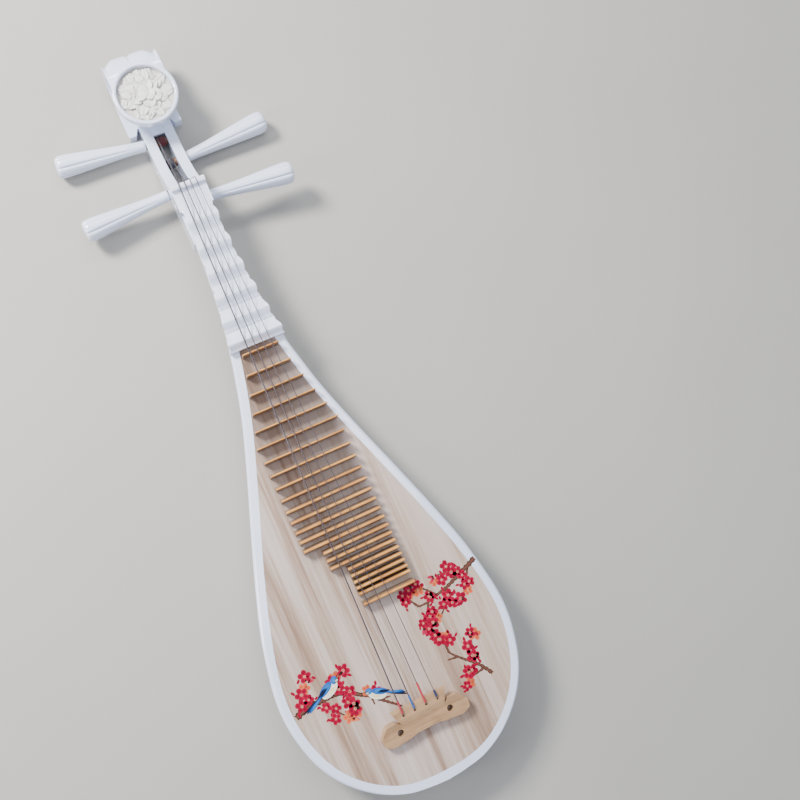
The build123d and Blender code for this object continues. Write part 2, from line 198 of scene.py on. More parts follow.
def paulownia(name):
    """Pale straight-grained board in joined staves, with tan streaks and fine pores."""
    f = Finish(name, Specular_IOR_Level=0.35)
    stretched = f.place(scale=(1, 0.03, 1))
    x, y = f.axis("X"), f.axis("Y")
    stave = f.node("ShaderNodeMath", {"operation": "FLOOR"}, {0: x * 19.0 + 0.37})
    stave_tone = f.node("ShaderNodeTexWhiteNoise", {"noise_dimensions": "1D"}, {"W": stave})
    broad = f.noise(stretched, 42, 3, 0.55, 0.25)
    fine = f.noise(stretched, 330, 4, 0.65)
    tone = broad * 0.58 + fine * 0.34 + stave_tone * 0.10
    wood = f.ramp(tone, (0.38, (0.25, 0.155, 0.105)), (0.46, (0.395, 0.285, 0.22)),
                  (0.54, (0.50, 0.40, 0.345)), (0.68, (0.58, 0.49, 0.445)))
    cloud = f.noise(f.place(scale=(1, 0.35, 1)), 9, 3)
    warm = f.mix(f.fade(cloud, 0.45, 0.75, 0.0, 0.35), wood, (0.46, 0.32, 0.215))
    pores = f.noise(f.place(scale=(1, 0.012, 1)), 900, 2, 0.7)
    grained = f.mix(f.fade(pores, 0.60, 0.75, 0.0, 0.30), warm, (0.42, 0.30, 0.22))
    width = f.node("ShaderNodeMath", {"operation": "ABSOLUTE"}, {0: x})
    # painted shade with grime: the board under and between the frets is darkened in cloudy patches
    under_frets = f.fade(y, *SHADE_AND_GRIME_RUN) * f.fade(width, *SHADE_AND_GRIME_WIDTH, 1.0, 0.0)
    shade_and_grime = under_frets * f.fade(cloud, 0.2, 0.7, 0.65, 0.9)
    f.feed("Base Color", f.mix(shade_and_grime, grained, (0.46, 0.42, 0.40), "MULTIPLY"))
    f.feed("Roughness", f.fade(fine, 0.3, 0.7, 0.46, 0.60))
    f.feed("Normal", f.bump(fine + pores * 0.6, 0.00008, 0.5))
    return f.material


def bamboo(name, light, dark):
    """Split bamboo: fine dark fibre bundles along the strip under a clear varnish."""
    f = Finish(name, Coat_Roughness=0.12, Coat_Weight=0.35)
    stretched = f.place(scale=(0.05, 1, 1))
    fibre = f.noise(stretched, 900, 3, 0.6)
    streak = f.noise(stretched, 160, 3, 0.6)
    blotch = f.noise(f.place(), 55, 3)
    base = f.ramp(streak * 0.6 + blotch * 0.4, (0.38, dark), (0.60, light))
    f.feed("Base Color", f.mix(f.fade(fibre, 0.56, 0.72, 0.0, 0.55), base,
                               tuple(c * 0.55 for c in dark)))
    f.feed("Roughness", f.fade(fibre, 0.3, 0.7, 0.28, 0.45))
    f.feed("Normal", f.bump(fibre, 0.00006, 0.5))
    return f.material


def fret_bamboo(name):
    """Bamboo strips: bright orange skin along the top, the flesh on the sides painted dark brown as painted
    shade.
    """
    f = Finish(name, Coat_Roughness=0.15, Coat_Weight=0.25)
    z = f.axis("Z")
    fibre = f.noise(f.place(scale=(0.05, 1, 1)), 900, 3, 0.6)
    blotch = f.noise(f.place(scale=(0.4, 1, 1)), 70, 3)
    skin = f.ramp(blotch, (0.35, (0.47, 0.19, 0.04)), (0.65, (0.72, 0.35, 0.085)))
    # painted shade: the side flesh is made dark brown, darker than bamboo flesh, for the shade on the fret
    # sides
    shaded_flesh = f.ramp(blotch, (0.35, (0.15, 0.085, 0.048)), (0.65, (0.26, 0.16, 0.09)))
    base = f.mix(f.fade(z, *FRET_SHADE_TO_SKIN), shaded_flesh, skin)
    f.feed("Base Color", f.mix(f.fade(fibre, 0.56, 0.74, 0.0, 0.5), base, (0.20, 0.10, 0.04)))
    f.feed("Roughness", f.fade(fibre, 0.3, 0.7, 0.30, 0.48))
    f.feed("Normal", f.bump(fibre, 0.00006, 0.5))
    return f.material


def dark_shaft_wood(name, light=(0.20, 0.085, 0.04), dark=(0.075, 0.03, 0.016)):
    """Reddish-brown hardwood with grain along the peg."""
    f = Finish(name)
    grain = f.noise(f.place(scale=(0.08, 1, 1)), 420, 4, 0.6, 0.4)
    f.feed("Base Color", f.ramp(grain, (0.35, dark), (0.65, light)))
    f.feed("Roughness", f.fade(grain, 0.3, 0.7, 0.35, 0.5))
    f.feed("Normal", f.bump(grain, 0.00005, 0.5))
    return f.material


def spruce(name):
    """Plain pale brace wood, unseen inside the body."""
    f = Finish(name)
    grain = f.noise(f.place(scale=(0.04, 1, 1)), 300, 3, 0.6)
    f.feed("Base Color", f.ramp(grain, (0.35, (0.55, 0.38, 0.22)), (0.65, (0.72, 0.55, 0.36))))
    f.feed("Roughness", f.fade(grain, 0.3, 0.7, 0.5, 0.65))
    return f.material


def carved_resin(name):
    """Matte ivory-white resin: painted shade darkens it low down in the hollows, faint pits."""
    f = Finish(name)
    mottle = f.noise(f.place(), 180, 4, 0.6)
    base = f.ramp(mottle, (0.3, (0.66, 0.64, 0.60)), (0.7, (0.78, 0.765, 0.73)))
    # painted shade: the lower the surface lies in the carving, the darker it is
    f.feed("Base Color", f.mix(f.fade(f.axis("Z"), *DISC_HOLLOW_SHADE, 0.75, 0.0), base, (0.50, 0.47, 0.42)))
    f.feed("Roughness", f.fade(mottle, 0.3, 0.7, 0.42, 0.6))
    f.feed("Normal", f.bump(f.noise(f.place(), 900, 3), 0.00006, 0.4))
    return f.material


def steel(name, tint=(0.11, 0.09, 0.10)):
    """Wound steel string: fine turns across its length."""
    f = Finish(name, Metallic=0.6)
    turns = f.node("ShaderNodeMath", {"operation": "SINE"}, {0: f.axis("Y") * 12000.0})
    f.feed("Base Color", f.ramp(f.noise(f.place(scale=(1, 0.1, 1)), 300, 2),
                                (0.3, tuple(c * 0.6 for c in tint)), (0.7, tint)))
    f.feed("Roughness", f.fade(turns, -1, 1, 0.25, 0.42))
    return f.material


def thread(name, colour, along="y"):
    """Tightly laid coloured silk thread."""
    f = Finish(name, Sheen_Weight=0.4, Sheen_Roughness=0.4)
    scale = {"x": (1, 0.2, 0.2), "y": (0.2, 1, 0.2)}[along]
    lay = f.noise(f.place(scale=scale), 2600, 2)
    fuzz = f.noise(f.place(), 1400, 3)
    f.feed("Base Color", f.ramp(lay * 0.6 + fuzz * 0.4, (0.35, tuple(c * 0.5 for c in colour)),
                                (0.6, colour)))
    f.feed("Roughness", f.fade(fuzz, 0.3, 0.7, 0.55, 0.75))
    f.feed("Normal", f.bump(lay, 0.0001, 0.6))
    return f.material


def brushed_paint(name):
    """Opaque paint in the strokes' own colours, thinner where the brush ran dry."""
    f = Finish(name, Specular_IOR_Level=0.12)
    colour = f.node("ShaderNodeAttribute", {"attribute_name": "paint"}, output="Color")
    bristle = f.noise(f.place(scale=(1, 0.3, 1)), 1500, 3, 0.6)
    patch = f.noise(f.place(), 420, 3)
    f.feed("Base Color", f.mix(f.fade(bristle * 0.5 + patch * 0.5, 0.42, 0.62, 0.0, 0.30), colour,
                               (0.62, 0.50, 0.42), "MULTIPLY"))
    f.feed("Roughness", f.fade(bristle, 0.3, 0.7, 0.45, 0.65))
    f.feed("Normal", f.bump(bristle, 0.00003, 0.5))
    return f.material


LACQUER = white_lacquer("white_lacquer")
GLOSS = white_lacquer("white_gloss_neck", (0.76, 0.81, 0.94), 0.08)
WOOD = paulownia("paulownia_board")
FRET_BAMBOO = fret_bamboo("fret_bamboo")
BRIDGE_BAMBOO = bamboo("bridge_bamboo", (0.46, 0.28, 0.145), (0.32, 0.18, 0.085))
RESIN = carved_resin("carved_resin")
PAINT = brushed_paint("brushed_paint")
STEEL = steel("string_steel")
SPRUCE = spruce("brace_spruce")
SHAFT = dark_shaft_wood("shaft_rosewood")
CRIMSON = (0.42, 0.012, 0.035)
THREADS = [thread(f"wrap_thread_{i}", colour) for i, colour in enumerate(
    [CRIMSON, (0.02, 0.10, 0.35), (0.50, 0.02, 0.03), (0.01, 0.02, 0.09)], 1)]
WINDINGS = [thread("winding_crimson", (0.13, 0.008, 0.014), "x"),
            thread("winding_steel", (0.03, 0.030, 0.045), "x")]


def dress(node, material):
    mesh = frame["nodes"][node].data
    mesh.materials.clear()
    mesh.materials.append(material)


FINISHES = {"xiang": GLOSS, "nut": GLOSS, "soundboard": WOOD, "fret": FRET_BAMBOO,
            "bridge": BRIDGE_BAMBOO, "medallion": RESIN, "string": STEEL,
            "sound_post": SPRUCE, "upper_brace": SPRUCE, "middle_brace": SPRUCE,
            "lower_brace": SPRUCE}
for i in range(4):
    FINISHES[f"string_wrap_{i + 1}"] = THREADS[i]
    FINISHES[f"winding_{i + 1}"] = WINDINGS[i % 2]
for node in frame["nodes"]:
    kind = node.rstrip("0123456789").rstrip("_")
    dress(node, FINISHES.get(node) or FINISHES.get(kind, LACQUER))


# ---------------------------------------------------------------- places, tools
TAIL_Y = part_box("back_and_neck")[0].y
BOARD_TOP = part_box("soundboard")[1].z


def spot(x, run, height=0.0):
    """Millimetres right of the centre line, from the tail and over the soundboard."""
    return Vector((x * MM, TAIL_Y + run * MM, BOARD_TOP + height * MM))


def linked(name, data):
    made = bpy.data.objects.new(name, data)
    bpy.context.scene.collection.objects.link(made)
    return made


def smooth_path(points, steps):
    """A smooth run of points through the given ones, with steps to each span."""
    points = [Vector(p) for p in points]
    ends = [2 * points[0] - points[1], *points, 2 * points[-1] - points[-2]]
    path = []
    for a, b, c, d in zip(ends, ends[1:], ends[2:], ends[3:]):
        for t in (i / steps for i in range(steps)):
            path.append(0.5 * (2 * b + (c - a) * t + (2 * a - 5 * b + 4 * c - d) * t ** 2
                               + (3 * b - a - 3 * c + d) * t ** 3))
    return path + [points[-1]]


def eased(value, low, high):
    """0 below low, 1 above high, smooth between."""
    t = min(max((value - low) / (high - low), 0.0), 1.0)
    return t * t * (3 - 2 * t)


def finished(name, bm, materials, body="root", crease=35, replaces=()):
    """Makes the object of a bmesh, with sharp edges past the crease angle, riding on a body."""
    mesh = bpy.data.meshes.new(name)
    bm.to_mesh(mesh)
    bm.free()
    plain_normals(mesh)
    for material in materials:
        mesh.materials.append(material)
    mesh.shade_smooth()
    mesh.set_sharp_from_angle(angle=math.radians(crease))
    made = linked(name, mesh)
    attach(made, body)
    if replaces:
        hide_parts(*replaces)
    return made


def modified(obj, kind, **settings):
    """Applies one modifier to a piece's mesh."""
    modifier = obj.modifiers.new(kind.lower(), kind)
    for key, value in settings.items():
        setattr(modifier, key, value)
    bpy.context.view_layer.update()
    baked = bpy.data.meshes.new_from_object(obj.evaluated_get(bpy.context.evaluated_depsgraph_get()))
    obj.modifiers.clear()
    obj.data = baked


def plain_normals(mesh):
    """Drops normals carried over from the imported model."""
    if "custom_normal" in mesh.attributes:
        mesh.attributes.remove(mesh.attributes["custom_normal"])


def crisp_flats(mesh):
    """Keeps the level faces' shading level where a rolled edge meets them."""
    plain_normals(mesh)
    bm = bmesh.new()
    bm.from_mesh(mesh)
    bmesh.ops.remove_doubles(bm, verts=bm.verts, dist=0.000004)
    bmesh.ops.dissolve_degenerate(bm, edges=bm.edges, dist=0.000004)
    for edge in bm.edges:
        if sum(face.normal.z > 0.9995 for face in edge.link_faces) == 1:
            edge.smooth = False
    bm.to_mesh(mesh)
    bm.free()


def merged_copy(node):
    """A bmesh of a CAD node's mesh with its loose triangles joined and flat faces cleaned."""
    bm = bmesh.new()
    bm.from_mesh(frame["nodes"][node].data)
    bmesh.ops.remove_doubles(bm, verts=bm.verts, dist=0.00002)
    bmesh.ops.dissolve_limit(bm, angle_limit=math.radians(0.6), verts=bm.verts, edges=bm.edges)
    return bm


def softened(node, width, segments=2, material=LACQUER, reshape=None, cuts=(),
             square=None):
    """A CAD node with its sharp edges rounded over. Cuts across it at the given runs let
    reshape bend it first, and edges for which square is true stay as they are."""
    body = frame["nodes"][node]["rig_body"]
    bm = merged_copy(node)
    for y in cuts:
        bmesh.ops.bisect_plane(bm, geom=bm.verts[:] + bm.edges[:] + bm.faces[:], plane_co=(0, y, 0),
                               plane_no=(0, 1, 0))
    for v in bm.verts if reshape else ():
        reshape(v)
    sharp = [e for e in bm.edges if e.is_manifold and e.calc_face_angle(0) > math.radians(32)
             and not (square and square(e))]
    bmesh.ops.bevel(bm, geom=sharp, offset=width * MM, offset_type="OFFSET", affect="EDGES",
                    segments=segments, profile=0.5, material=-1, clamp_overlap=True)
    made = finished(f"{node}_soft", bm, [material], body, 40, [node])
    modified(made, "WEIGHTED_NORMAL", keep_sharp=True, weight=80)


def rings_joined(bm, rings):
    """Bridges a row of vertex rings into one skin and closes both ends."""
    loops = [list({e for v in ring for e in v.link_edges}) for ring in rings]
    for first, second in zip(loops, loops[1:]):
        bmesh.ops.bridge_loops(bm, edges=first + second)
    for ring in (rings[0], rings[-1]):
        bm.faces.new(ring)
    bmesh.ops.recalc_face_normals(bm, faces=bm.faces)


# ------------------------------------------------------------ back and neck
# distance from the tail, half width, depth, in mm
BODY_STATIONS = [(0, 1.5, 10), (1.6, 26, 17), (8, 59, 25), (27, 94, 35.5), (60, 126.5, 44.5),
                 (104, 147.5, 50.5), (166, 156.3, 54.5), (241, 144.5, 54), (304, 126, 52),
                 (379, 100, 48.5), (440, 78, 45), (504, 56.5, 41), (554, 43.4, 38.5),
                 (590, 35.5, 37), (640, 27.2, 35.5), (690, 22, 34.5), (732, 19.6, 34)]
SECTION_POINTS = 72
SIDE_HEIGHT = 9.0
RIM_ROLL = 5.2
CAVITY_INSET = 19.0
BACK_WALL = 6.0


def body_ring(bm, run, half, depth, roll, top=0.0):
    """One closed loop: flat top, rolled edge, upright side and half-ellipse belly."""
    roll = min(roll, 0.7 * half)
    ring = bmesh.ops.create_circle(bm, segments=SECTION_POINTS, radius=1)["verts"]
    for v in ring:
        angle = math.atan2(v.co.y, v.co.x)
        x, z = half * math.cos(angle), -SIDE_HEIGHT - (depth - SIDE_HEIGHT) * abs(math.sin(angle))
        if angle > 0.001:
            share = angle / math.pi
            climb, side = 2 * min(share, 1 - share), (1 if share < 0.5 else -1)
            if climb < 0.2:
                x, z = half, -SIDE_HEIGHT + (SIDE_HEIGHT - roll) * climb / 0.2
            elif climb < 0.8:
                turn = math.radians(90) * (climb - 0.2) / 0.6
                x, z = half - roll * (1 - math.cos(turn)), -roll * (1 - math.sin(turn))
            else:
                x, z = (half - roll) * (1 - climb) / 0.2, 0.0
            x *= side
        v.co = spot(x, run, z + top)
    return ring


def body_skin(inset, wall, top, steps, stations):
    bm = bmesh.new()
    rings = []
    for run, half, depth in smooth_path(stations, steps):
        roll = RIM_ROLL if not inset else 0.5
        roll += (0.25 - roll) * eased(run, 574, 592)
        rings.append(body_ring(bm, run, half - inset, depth - wall, roll, top))
    rings_joined(bm, rings)
    return bm


def make_back():
    body = finished("back_shell", body_skin(0, 0, 0, 10, BODY_STATIONS), [LACQUER],
                    replaces=["back_and_neck"])
    hollow = linked("hollow_cutter", bpy.data.meshes.new("hollow_cutter"))
    bm = body_skin(CAVITY_INSET, BACK_WALL + 4, -3.0, 5, BODY_STATIONS[3:13])
    bm.to_mesh(hollow.data)
    bm.free()
    recess = linked("recess_cutter", bpy.data.meshes.new("recess_cutter"))
    bm = merged_copy("soundboard")
    for v in bm.verts:
        if v.co.z > BOARD_TOP - 0.001:
            v.co.z += 0.004
    bm.to_mesh(recess.data)
    bm.free()
    for cutter in (recess, hollow):
        modified(body, "BOOLEAN", operation="DIFFERENCE", object=cutter, solver="EXACT")
        bpy.data.objects.remove(cutter)
    body.data.set_sharp_from_angle(angle=math.radians(35))
    crisp_flats(body.data)


make_back()

# ----------------------------------------------------------------- curled head
HEAD_HALF = 36.0
HEAD_OUTER = [(912, -62), (935, -61.5), (965, -57), (988, -45), (999.4, -28), (991, -13), (976, -8.2),
              (955, -8), (933, -8), (897, -8)]
HEAD_INNER = [(897, -15), (933, -15), (966, -16), (983, -28), (974, -41), (952, -48.5),
              (930, -50), (912, -44)]
HEAD_SLICES = 48
HEAD_MIDDLE = (952, -33)
RING_RUN = 933.0


def make_head():
    """The curled band: two lobes across its width, a groove between them, turned-up corners."""
    bm = bmesh.new()
    outer = smooth_path([(*p, 0) for p in HEAD_OUTER], 7)
    inner = smooth_path([(*p, 0) for p in HEAD_INNER], 6)
    loop = [bm.verts.new((-HEAD_HALF, p.x, p.y)) for p in outer + inner]
    edges = [bm.edges.new((a, b)) for a, b in zip(loop, loop[1:] + loop[:1])]
    for _ in range(HEAD_SLICES):
        made = bmesh.ops.extrude_edge_only(bm, edges=edges)["geom"]
        row = [g for g in made if isinstance(g, bmesh.types.BMVert)]
        edges = [g for g in made if isinstance(g, bmesh.types.BMEdge)
                 and g.verts[0] in row and g.verts[1] in row]
        bmesh.ops.translate(bm, verts=row, vec=(2 * HEAD_HALF / HEAD_SLICES, 0, 0))
    bmesh.ops.holes_fill(bm, edges=[e for e in bm.edges if e.is_boundary], sides=0)
    bmesh.ops.recalc_face_normals(bm, faces=bm.faces)
    for v in bm.verts:
        x, run, height = v.co
        across = abs(x) / HEAD_HALF
        is_outer = (run - HEAD_MIDDLE[0]) ** 2 / 44 ** 2 + (height - HEAD_MIDDLE[1]) ** 2 / 24 ** 2 > 0.9
        groove = math.exp(-(across / 0.055) ** 2)
        lobe_drop = 1.1 * math.exp(-(across / 0.10) ** 2) + 6.2 * eased(across, 0.52, 0.94)
        corner = 2.8 * eased(across, 0.93, 1.0)
        lift = eased(run, 962, 1000)
        if is_outer and height < -9:
            pull = (1.0 * groove + 1.5 * eased(across, 0.72, 0.93) - 0.9 * eased(across, 0.93, 0.97))
            pull *= eased(run, 914, 950)
            way = Vector((HEAD_MIDDLE[0] - run, HEAD_MIDDLE[1] - height)).normalized()
            run, height = run + way.x * pull, height + way.y * pull
        run -= (lobe_drop - corner) * lift
        if height > -16 and run < RING_RUN:
            x *= math.sqrt(max(1 - ((RING_RUN - run) / HEAD_HALF) ** 2, 0.0))
        if height < -40 and run < 913:
            run -= 8.5 * eased(abs(x), 21.5, 27)
        v.co = spot(x, run, height)
    bmesh.ops.remove_doubles(bm, verts=bm.verts, dist=0.00001)
    head = finished("head_curl", bm, [LACQUER], crease=38, replaces=["head_scroll"])
    modified(head, "BEVEL", width=0.0009, segments=3, limit_method="ANGLE",
             angle_limit=math.radians(50), miter_outer="MITER_ARC")
    head.data.shade_smooth()
    head.data.set_sharp_from_angle(angle=math.radians(38))


make_head()

# ------------------------------------------------------------------ carved disc
DISC_RADIUS = 35.5
DISC_FLOOR = -5.2


def carved_leaf(bm, root, turn, length, width, rise, cup, droop, ripple, tip=0.55):
    """A carved petal or leaf from its root outwards, cupped across and rippled at its lip."""
    grid = bmesh.ops.create_grid(bm, x_segments=12, y_segments=12, size=1)["verts"]
    for v in grid:
        across, out = v.co.x, (v.co.y + 1) / 2
        swell = math.sin(math.pi * min(0.10 + out * (0.5 + tip * 0.45), 1.0)) ** 0.75
        x = across * width * swell / 2
        y = out * length * (1 - 0.10 * across * across)
        z = (rise * math.sin(out * math.pi * 0.5) - droop * out * out + cup * across * across * out
             + ripple * math.sin(across * 7 + turn * 3) * out * out)
        c, s = math.cos(turn), math.sin(turn)
        px, py = root[0] + x * c - y * s, root[1] + x * s + y * c
        reach = math.hypot(px, py)
        if reach > DISC_RADIUS - 0.8:
            px, py = px * (DISC_RADIUS - 0.8) / reach, py * (DISC_RADIUS - 0.8) / reach
        v.co = spot(px, RING_RUN + py, root[2] + z)


def make_disc():
    """An open bloom over a ring of leaves, carved from one disc."""
    chance = random.Random(7)
    bm = bmesh.new()
    base = bmesh.ops.create_cone(bm, cap_ends=True, segments=96, radius1=DISC_RADIUS * MM,
                                 radius2=DISC_RADIUS * MM, depth=(DISC_FLOOR + 8.0) * MM)["verts"]
    bmesh.ops.translate(bm, verts=base, vec=spot(0, RING_RUN, (DISC_FLOOR - 8.0) / 2))
    leaves = bmesh.new()
    rows = [  # count, root distance, length, width, root height, rise, cup, droop, ripple
        (11, 15.5, 20.0, 16.5, -5.2, 3.4, -1.6, 1.2, 0.8),
        (8, 11.5, 17.5, 15.0, -4.2, 3.2, 1.6, 2.0, 0.7),
        (6, 6.0, 15.5, 15.5, -3.2, 3.2, 2.2, 1.6, 0.6),
        (4, 2.5, 12.5, 15.0, -2.2, 3.0, 2.2, 1.0, 0.4),
        (2, -4.5, 13.0, 14.5, -1.6, 3.4, -2.0, 1.2, 0.15)]
    for row, (count, reach, length, width, height, rise, cup, droop, ripple) in enumerate(rows):
        off = (0.0, 0.0) if row == 0 else (-1.0, 3.0)
        for i in range(count):
            turn = math.tau * (i + 0.5 * (row % 2)) / count + chance.uniform(-0.12, 0.12)
            root = (off[0] - reach * math.sin(turn), off[1] + reach * math.cos(turn),
                    height + chance.uniform(-0.25, 0.25))
            carved_leaf(leaves, root, turn + chance.uniform(-0.18, 0.18),
                        length * chance.uniform(0.9, 1.08), width * chance.uniform(0.9, 1.1),
                        rise, cup, droop, ripple)
    for i in range(3):  # the stem and two bracts below the bloom
        carved_leaf(leaves, (2.0 - 3.0 * i, -14.0, -3.0), math.pi + 0.5 * (i - 1), 15, 5.5,
                    1.8, -0.8, 0.9, 0.1)
    bmesh.ops.solidify(leaves, geom=leaves.faces, thickness=1.3 * MM)
    bmesh.ops.recalc_face_normals(leaves, faces=leaves.faces)
    petals = bpy.data.meshes.new("petals")
    leaves.to_mesh(petals)
    leaves.free()
    bm.from_mesh(petals)
    finished("carved_bloom", bm, [RESIN], crease=60, replaces=["medallion"])


make_disc()

# ------------------------------------------------------------------ tuning pegs
# distance from the tail, height over the soundboard, side of the handle, tilt to the head
PEGS = [(886, -46.0, -1, 5.5), (854, -46.0, 1, 5.5), (815, -35.5, -1, -4.0), (791, -18.5, 1, -4.0)]
SHAFT_PROFILE = [(-16.0, 0.0), (-16.0, 4.0), (-15.4, 4.55), (22.2, 6.0), (22.2, 0.0)]
HANDLE_PROFILE = [(21.6, 6.2), (22.4, 6.9), (40, 7.5), (60, 8.8), (80, 10.5), (100, 12.3), (118, 13.8),
                  (128, 14.3), (133.5, 13.6), (136.6, 11.2), (137.8, 7.0), (138, 0.0)]
FLUTES = 6
TURN_STEPS = 96
WINDING_RUNS = [(-5.0, 3.5), (-5.5, 4.5), (-4.5, 4.0), (-5.5, 4.5)]
THREAD_RADIUS = 0.62


def peg_axis(index):
    """A matrix that takes (run along the peg, radius, 0) in metres to its place."""
    run, height, side, tilt = PEGS[index]
    way = Vector((side * math.cos(math.radians(tilt)), math.sin(math.radians(tilt)), 0))
    flat = Vector((0, 0, 1)).cross(way)
    return Matrix.Translation(spot(0, run, height)) @ Matrix((way, flat, (0, 0, 1))).transposed().to_4x4()


def turned(bm, profile):
    """Spins a profile of (run, radius) in mm round the x axis into a closed shape."""
    line = [bm.verts.new((run * MM, radius * MM, 0)) for run, radius in profile]
    edges = [bm.edges.new(pair) for pair in zip(line, line[1:])]
    bmesh.ops.spin(bm, geom=line + edges, cent=(0, 0, 0), axis=(1, 0, 0), angle=math.tau,
                   steps=TURN_STEPS, use_merge=True)
    bmesh.ops.remove_doubles(bm, verts=bm.verts, dist=0.000001)


def make_peg(index):
    place = peg_axis(index)
    bm = bmesh.new()
    turned(bm, SHAFT_PROFILE)
    path = [(p.x, max(p.y, 0.0)) for p in smooth_path([(*p, 0) for p in HANDLE_PROFILE[1:]], 5)]
    turned(bm, [(21.6, 0.0), HANDLE_PROFILE[0], *path])
    for v in bm.verts:
        run = v.co.x / MM
        if run > 22.3:
            phase = math.atan2(v.co.z, v.co.y) * FLUTES / 2
            valley = (1 - abs(math.sin(phase))) ** 3.0
            depth = 0.11 * eased(run, 24, 60) * (1 - 0.55 * eased(run, 131, 138))
            v.co.y *= 1 - depth * valley
            v.co.z *= 1 - depth * valley
    bmesh.ops.recalc_face_normals(bm, faces=bm.faces)
    for face in bm.faces:
        face.material_index = 1 if face.calc_center_median().x < 21.8 * MM else 0
    bmesh.ops.transform(bm, matrix=place, verts=bm.verts)
    finished(f"fluted_peg_{index + 1}", bm, [LACQUER, SHAFT], f"tuning_peg_{index + 1}", 50,
             [f"peg_{index + 1}"])


def coil(bm, start, length, coil_radius, thread_radius, pitch, sides=8, steps=14):
    """Turns of thread round the x axis from start, with closed ends."""
    turns = length / pitch
    ring = bmesh.ops.create_circle(bm, segments=sides, radius=thread_radius)["verts"]
    bmesh.ops.translate(bm, verts=ring, vec=(0, coil_radius, 0))
    for v in ring:
        v.co = Vector((v.co.x + start, v.co.y, 0))
    edges = list({e for v in ring for e in v.link_edges})
    count = round(turns * steps)
    bmesh.ops.spin(bm, geom=ring + edges, cent=(0, 0, 0), axis=(1, 0, 0), angle=math.tau * turns,
                   steps=count, dvec=(length / count, 0, 0))
    bmesh.ops.holes_fill(bm, edges=[e for e in bm.edges if e.is_boundary], sides=0)
    bmesh.ops.recalc_face_normals(bm, faces=bm.faces)


def make_winding(index):
    start, end = WINDING_RUNS[index]
    shaft = 4.6 + (6.1 - 4.6) * (start + 21.0) / 38.0
    bm = bmesh.new()
    coil(bm, (start + THREAD_RADIUS) * MM, (end - start - 2 * THREAD_RADIUS) * MM,
         (shaft + 1.5 - THREAD_RADIUS) * MM, THREAD_RADIUS * MM, 1.22 * MM)
    turned(bm, [(start + 0.3, 0.0), (start + 0.3, shaft + 0.7), (end - 0.3, shaft + 0.7), (end - 0.3, 0.0)])
    bmesh.ops.recalc_face_normals(bm, faces=bm.faces)
    bmesh.ops.transform(bm, matrix=peg_axis(index), verts=bm.verts)
    finished(f"winding_turns_{index + 1}", bm, [WINDINGS[index % 2]], f"tuning_peg_{index + 1}", 60,
             [f"winding_{index + 1}"])


for i in range(4):
    make_peg(i)
    make_winding(i)

# --------------------------------------------------------- threads at the bridge
WRAP_ENDS = [20.5, 20.5, 29.5, 12.5]
WRAP_START = 3.0
WRAP_THREAD = 0.42


def make_wrap(index):
    """Silk turns round the string where it leaves the bridge."""
    hole = spot((index - 1.5) * 15.6, 99, 19.3)
    nut = spot((index - 1.5) * 7.5, 804, 18.9)
    way = (nut - hole).normalized()
    side = Vector((0, 0, 1)).cross(way).normalized()
    bm = bmesh.new()
    length = WRAP_ENDS[index] - WRAP_START - 2 * WRAP_THREAD
    coil(bm, (WRAP_START + WRAP_THREAD) * MM, length * MM, (1.5 - WRAP_THREAD) * MM,
         WRAP_THREAD * MM, 0.80 * MM, 6, 12)
    place = Matrix.Translation(hole) @ Matrix((way, side, way.cross(side))).transposed().to_4x4()
    bmesh.ops.transform(bm, matrix=place, verts=bm.verts)
    finished(f"thread_turns_{index + 1}", bm, [THREADS[index]], "root", 60,
             [f"string_wrap_{index + 1}"])


for i in range(4):
    make_wrap(i)

# --------------------------------------- CAD shapes with their edges rounded over
softened("pegbox", 0.9, 3, LACQUER)
# the plate that closes the head end of the pegbox slot: half width, runs and heights in mm
SHELF_HALF, SHELF_RUNS, SHELF_HEIGHTS = 8.0, (893.6, 905.0), (-44.0, -37.6)
bm = bmesh.new()
shelf = bmesh.ops.create_cube(bm, size=1)["verts"]
for v in shelf:
    v.co = spot(math.copysign(SHELF_HALF, v.co.x), SHELF_RUNS[v.co.y > 0], SHELF_HEIGHTS[v.co.z > 0])
bmesh.ops.bevel(bm, geom=bm.edges[:], offset=0.5 * MM, offset_type="OFFSET", affect="EDGES", segments=3,
                profile=0.5, material=-1)
finished("slot_end_plate", bm, [LACQUER])
softened("medallion_ring", 1.6, 4, LACQUER)
XIANG_VALLEY, XIANG_RISE = 9.0, 6.7
NUT_FOOT = 10.5
NUT_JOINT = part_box("nut")[0].y


def at_run(edge, y):
    return all(abs(v.co.y - y) < 0.0002 for v in edge.verts)


softened("nut", 0.8, 3, GLOSS, square=lambda edge: at_run(edge, NUT_JOINT))


def make_xiang(index):
    """A wedge fret: a wave with a soft valley each side, standing out sideways at its crest."""
    low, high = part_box(f"xiang_{index}")
    cuts = [low.y + (high.y - low.y) * i / 14 for i in range(1, 14)]

    def flared(v):
        height = (v.co.z - BOARD_TOP) / MM
        if height > 5:
            share = min(max((height - XIANG_VALLEY) / XIANG_RISE, 0.0), 1.0)
            wave = 0.35 * share + 0.65 * share * share * (3 - 2 * share)
            v.co.x += math.copysign(3.4 * wave - 1.2, v.co.x) * MM
            v.co.z += (wave - share) * XIANG_RISE * MM
            if index == 1:
                v.co.z += (NUT_FOOT - XIANG_VALLEY) * eased(v.co.y, high.y - 0.012, high.y) * MM

    def jointed(edge):
        return at_run(edge, high.y) or (index < 6 and at_run(edge, low.y))

    softened(f"xiang_{index}", 0.7, 3, GLOSS, flared, cuts, jointed)


for i in range(1, 7):
    make_xiang(i)
softened("bridge", 1.0, 3, BRIDGE_BAMBOO)
for i in range(1, 25):
    low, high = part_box(f"fret_{i:02d}")
    middle, share = (low.y + high.y) / 2, 0.62 + 0.40 * eased(i, 5, 14)

    def slimmed(v):
        v.co.y = middle + (v.co.y - middle) * share

    softened(f"fret_{i:02d}", 0.35, 2, FRET_BAMBOO, slimmed)

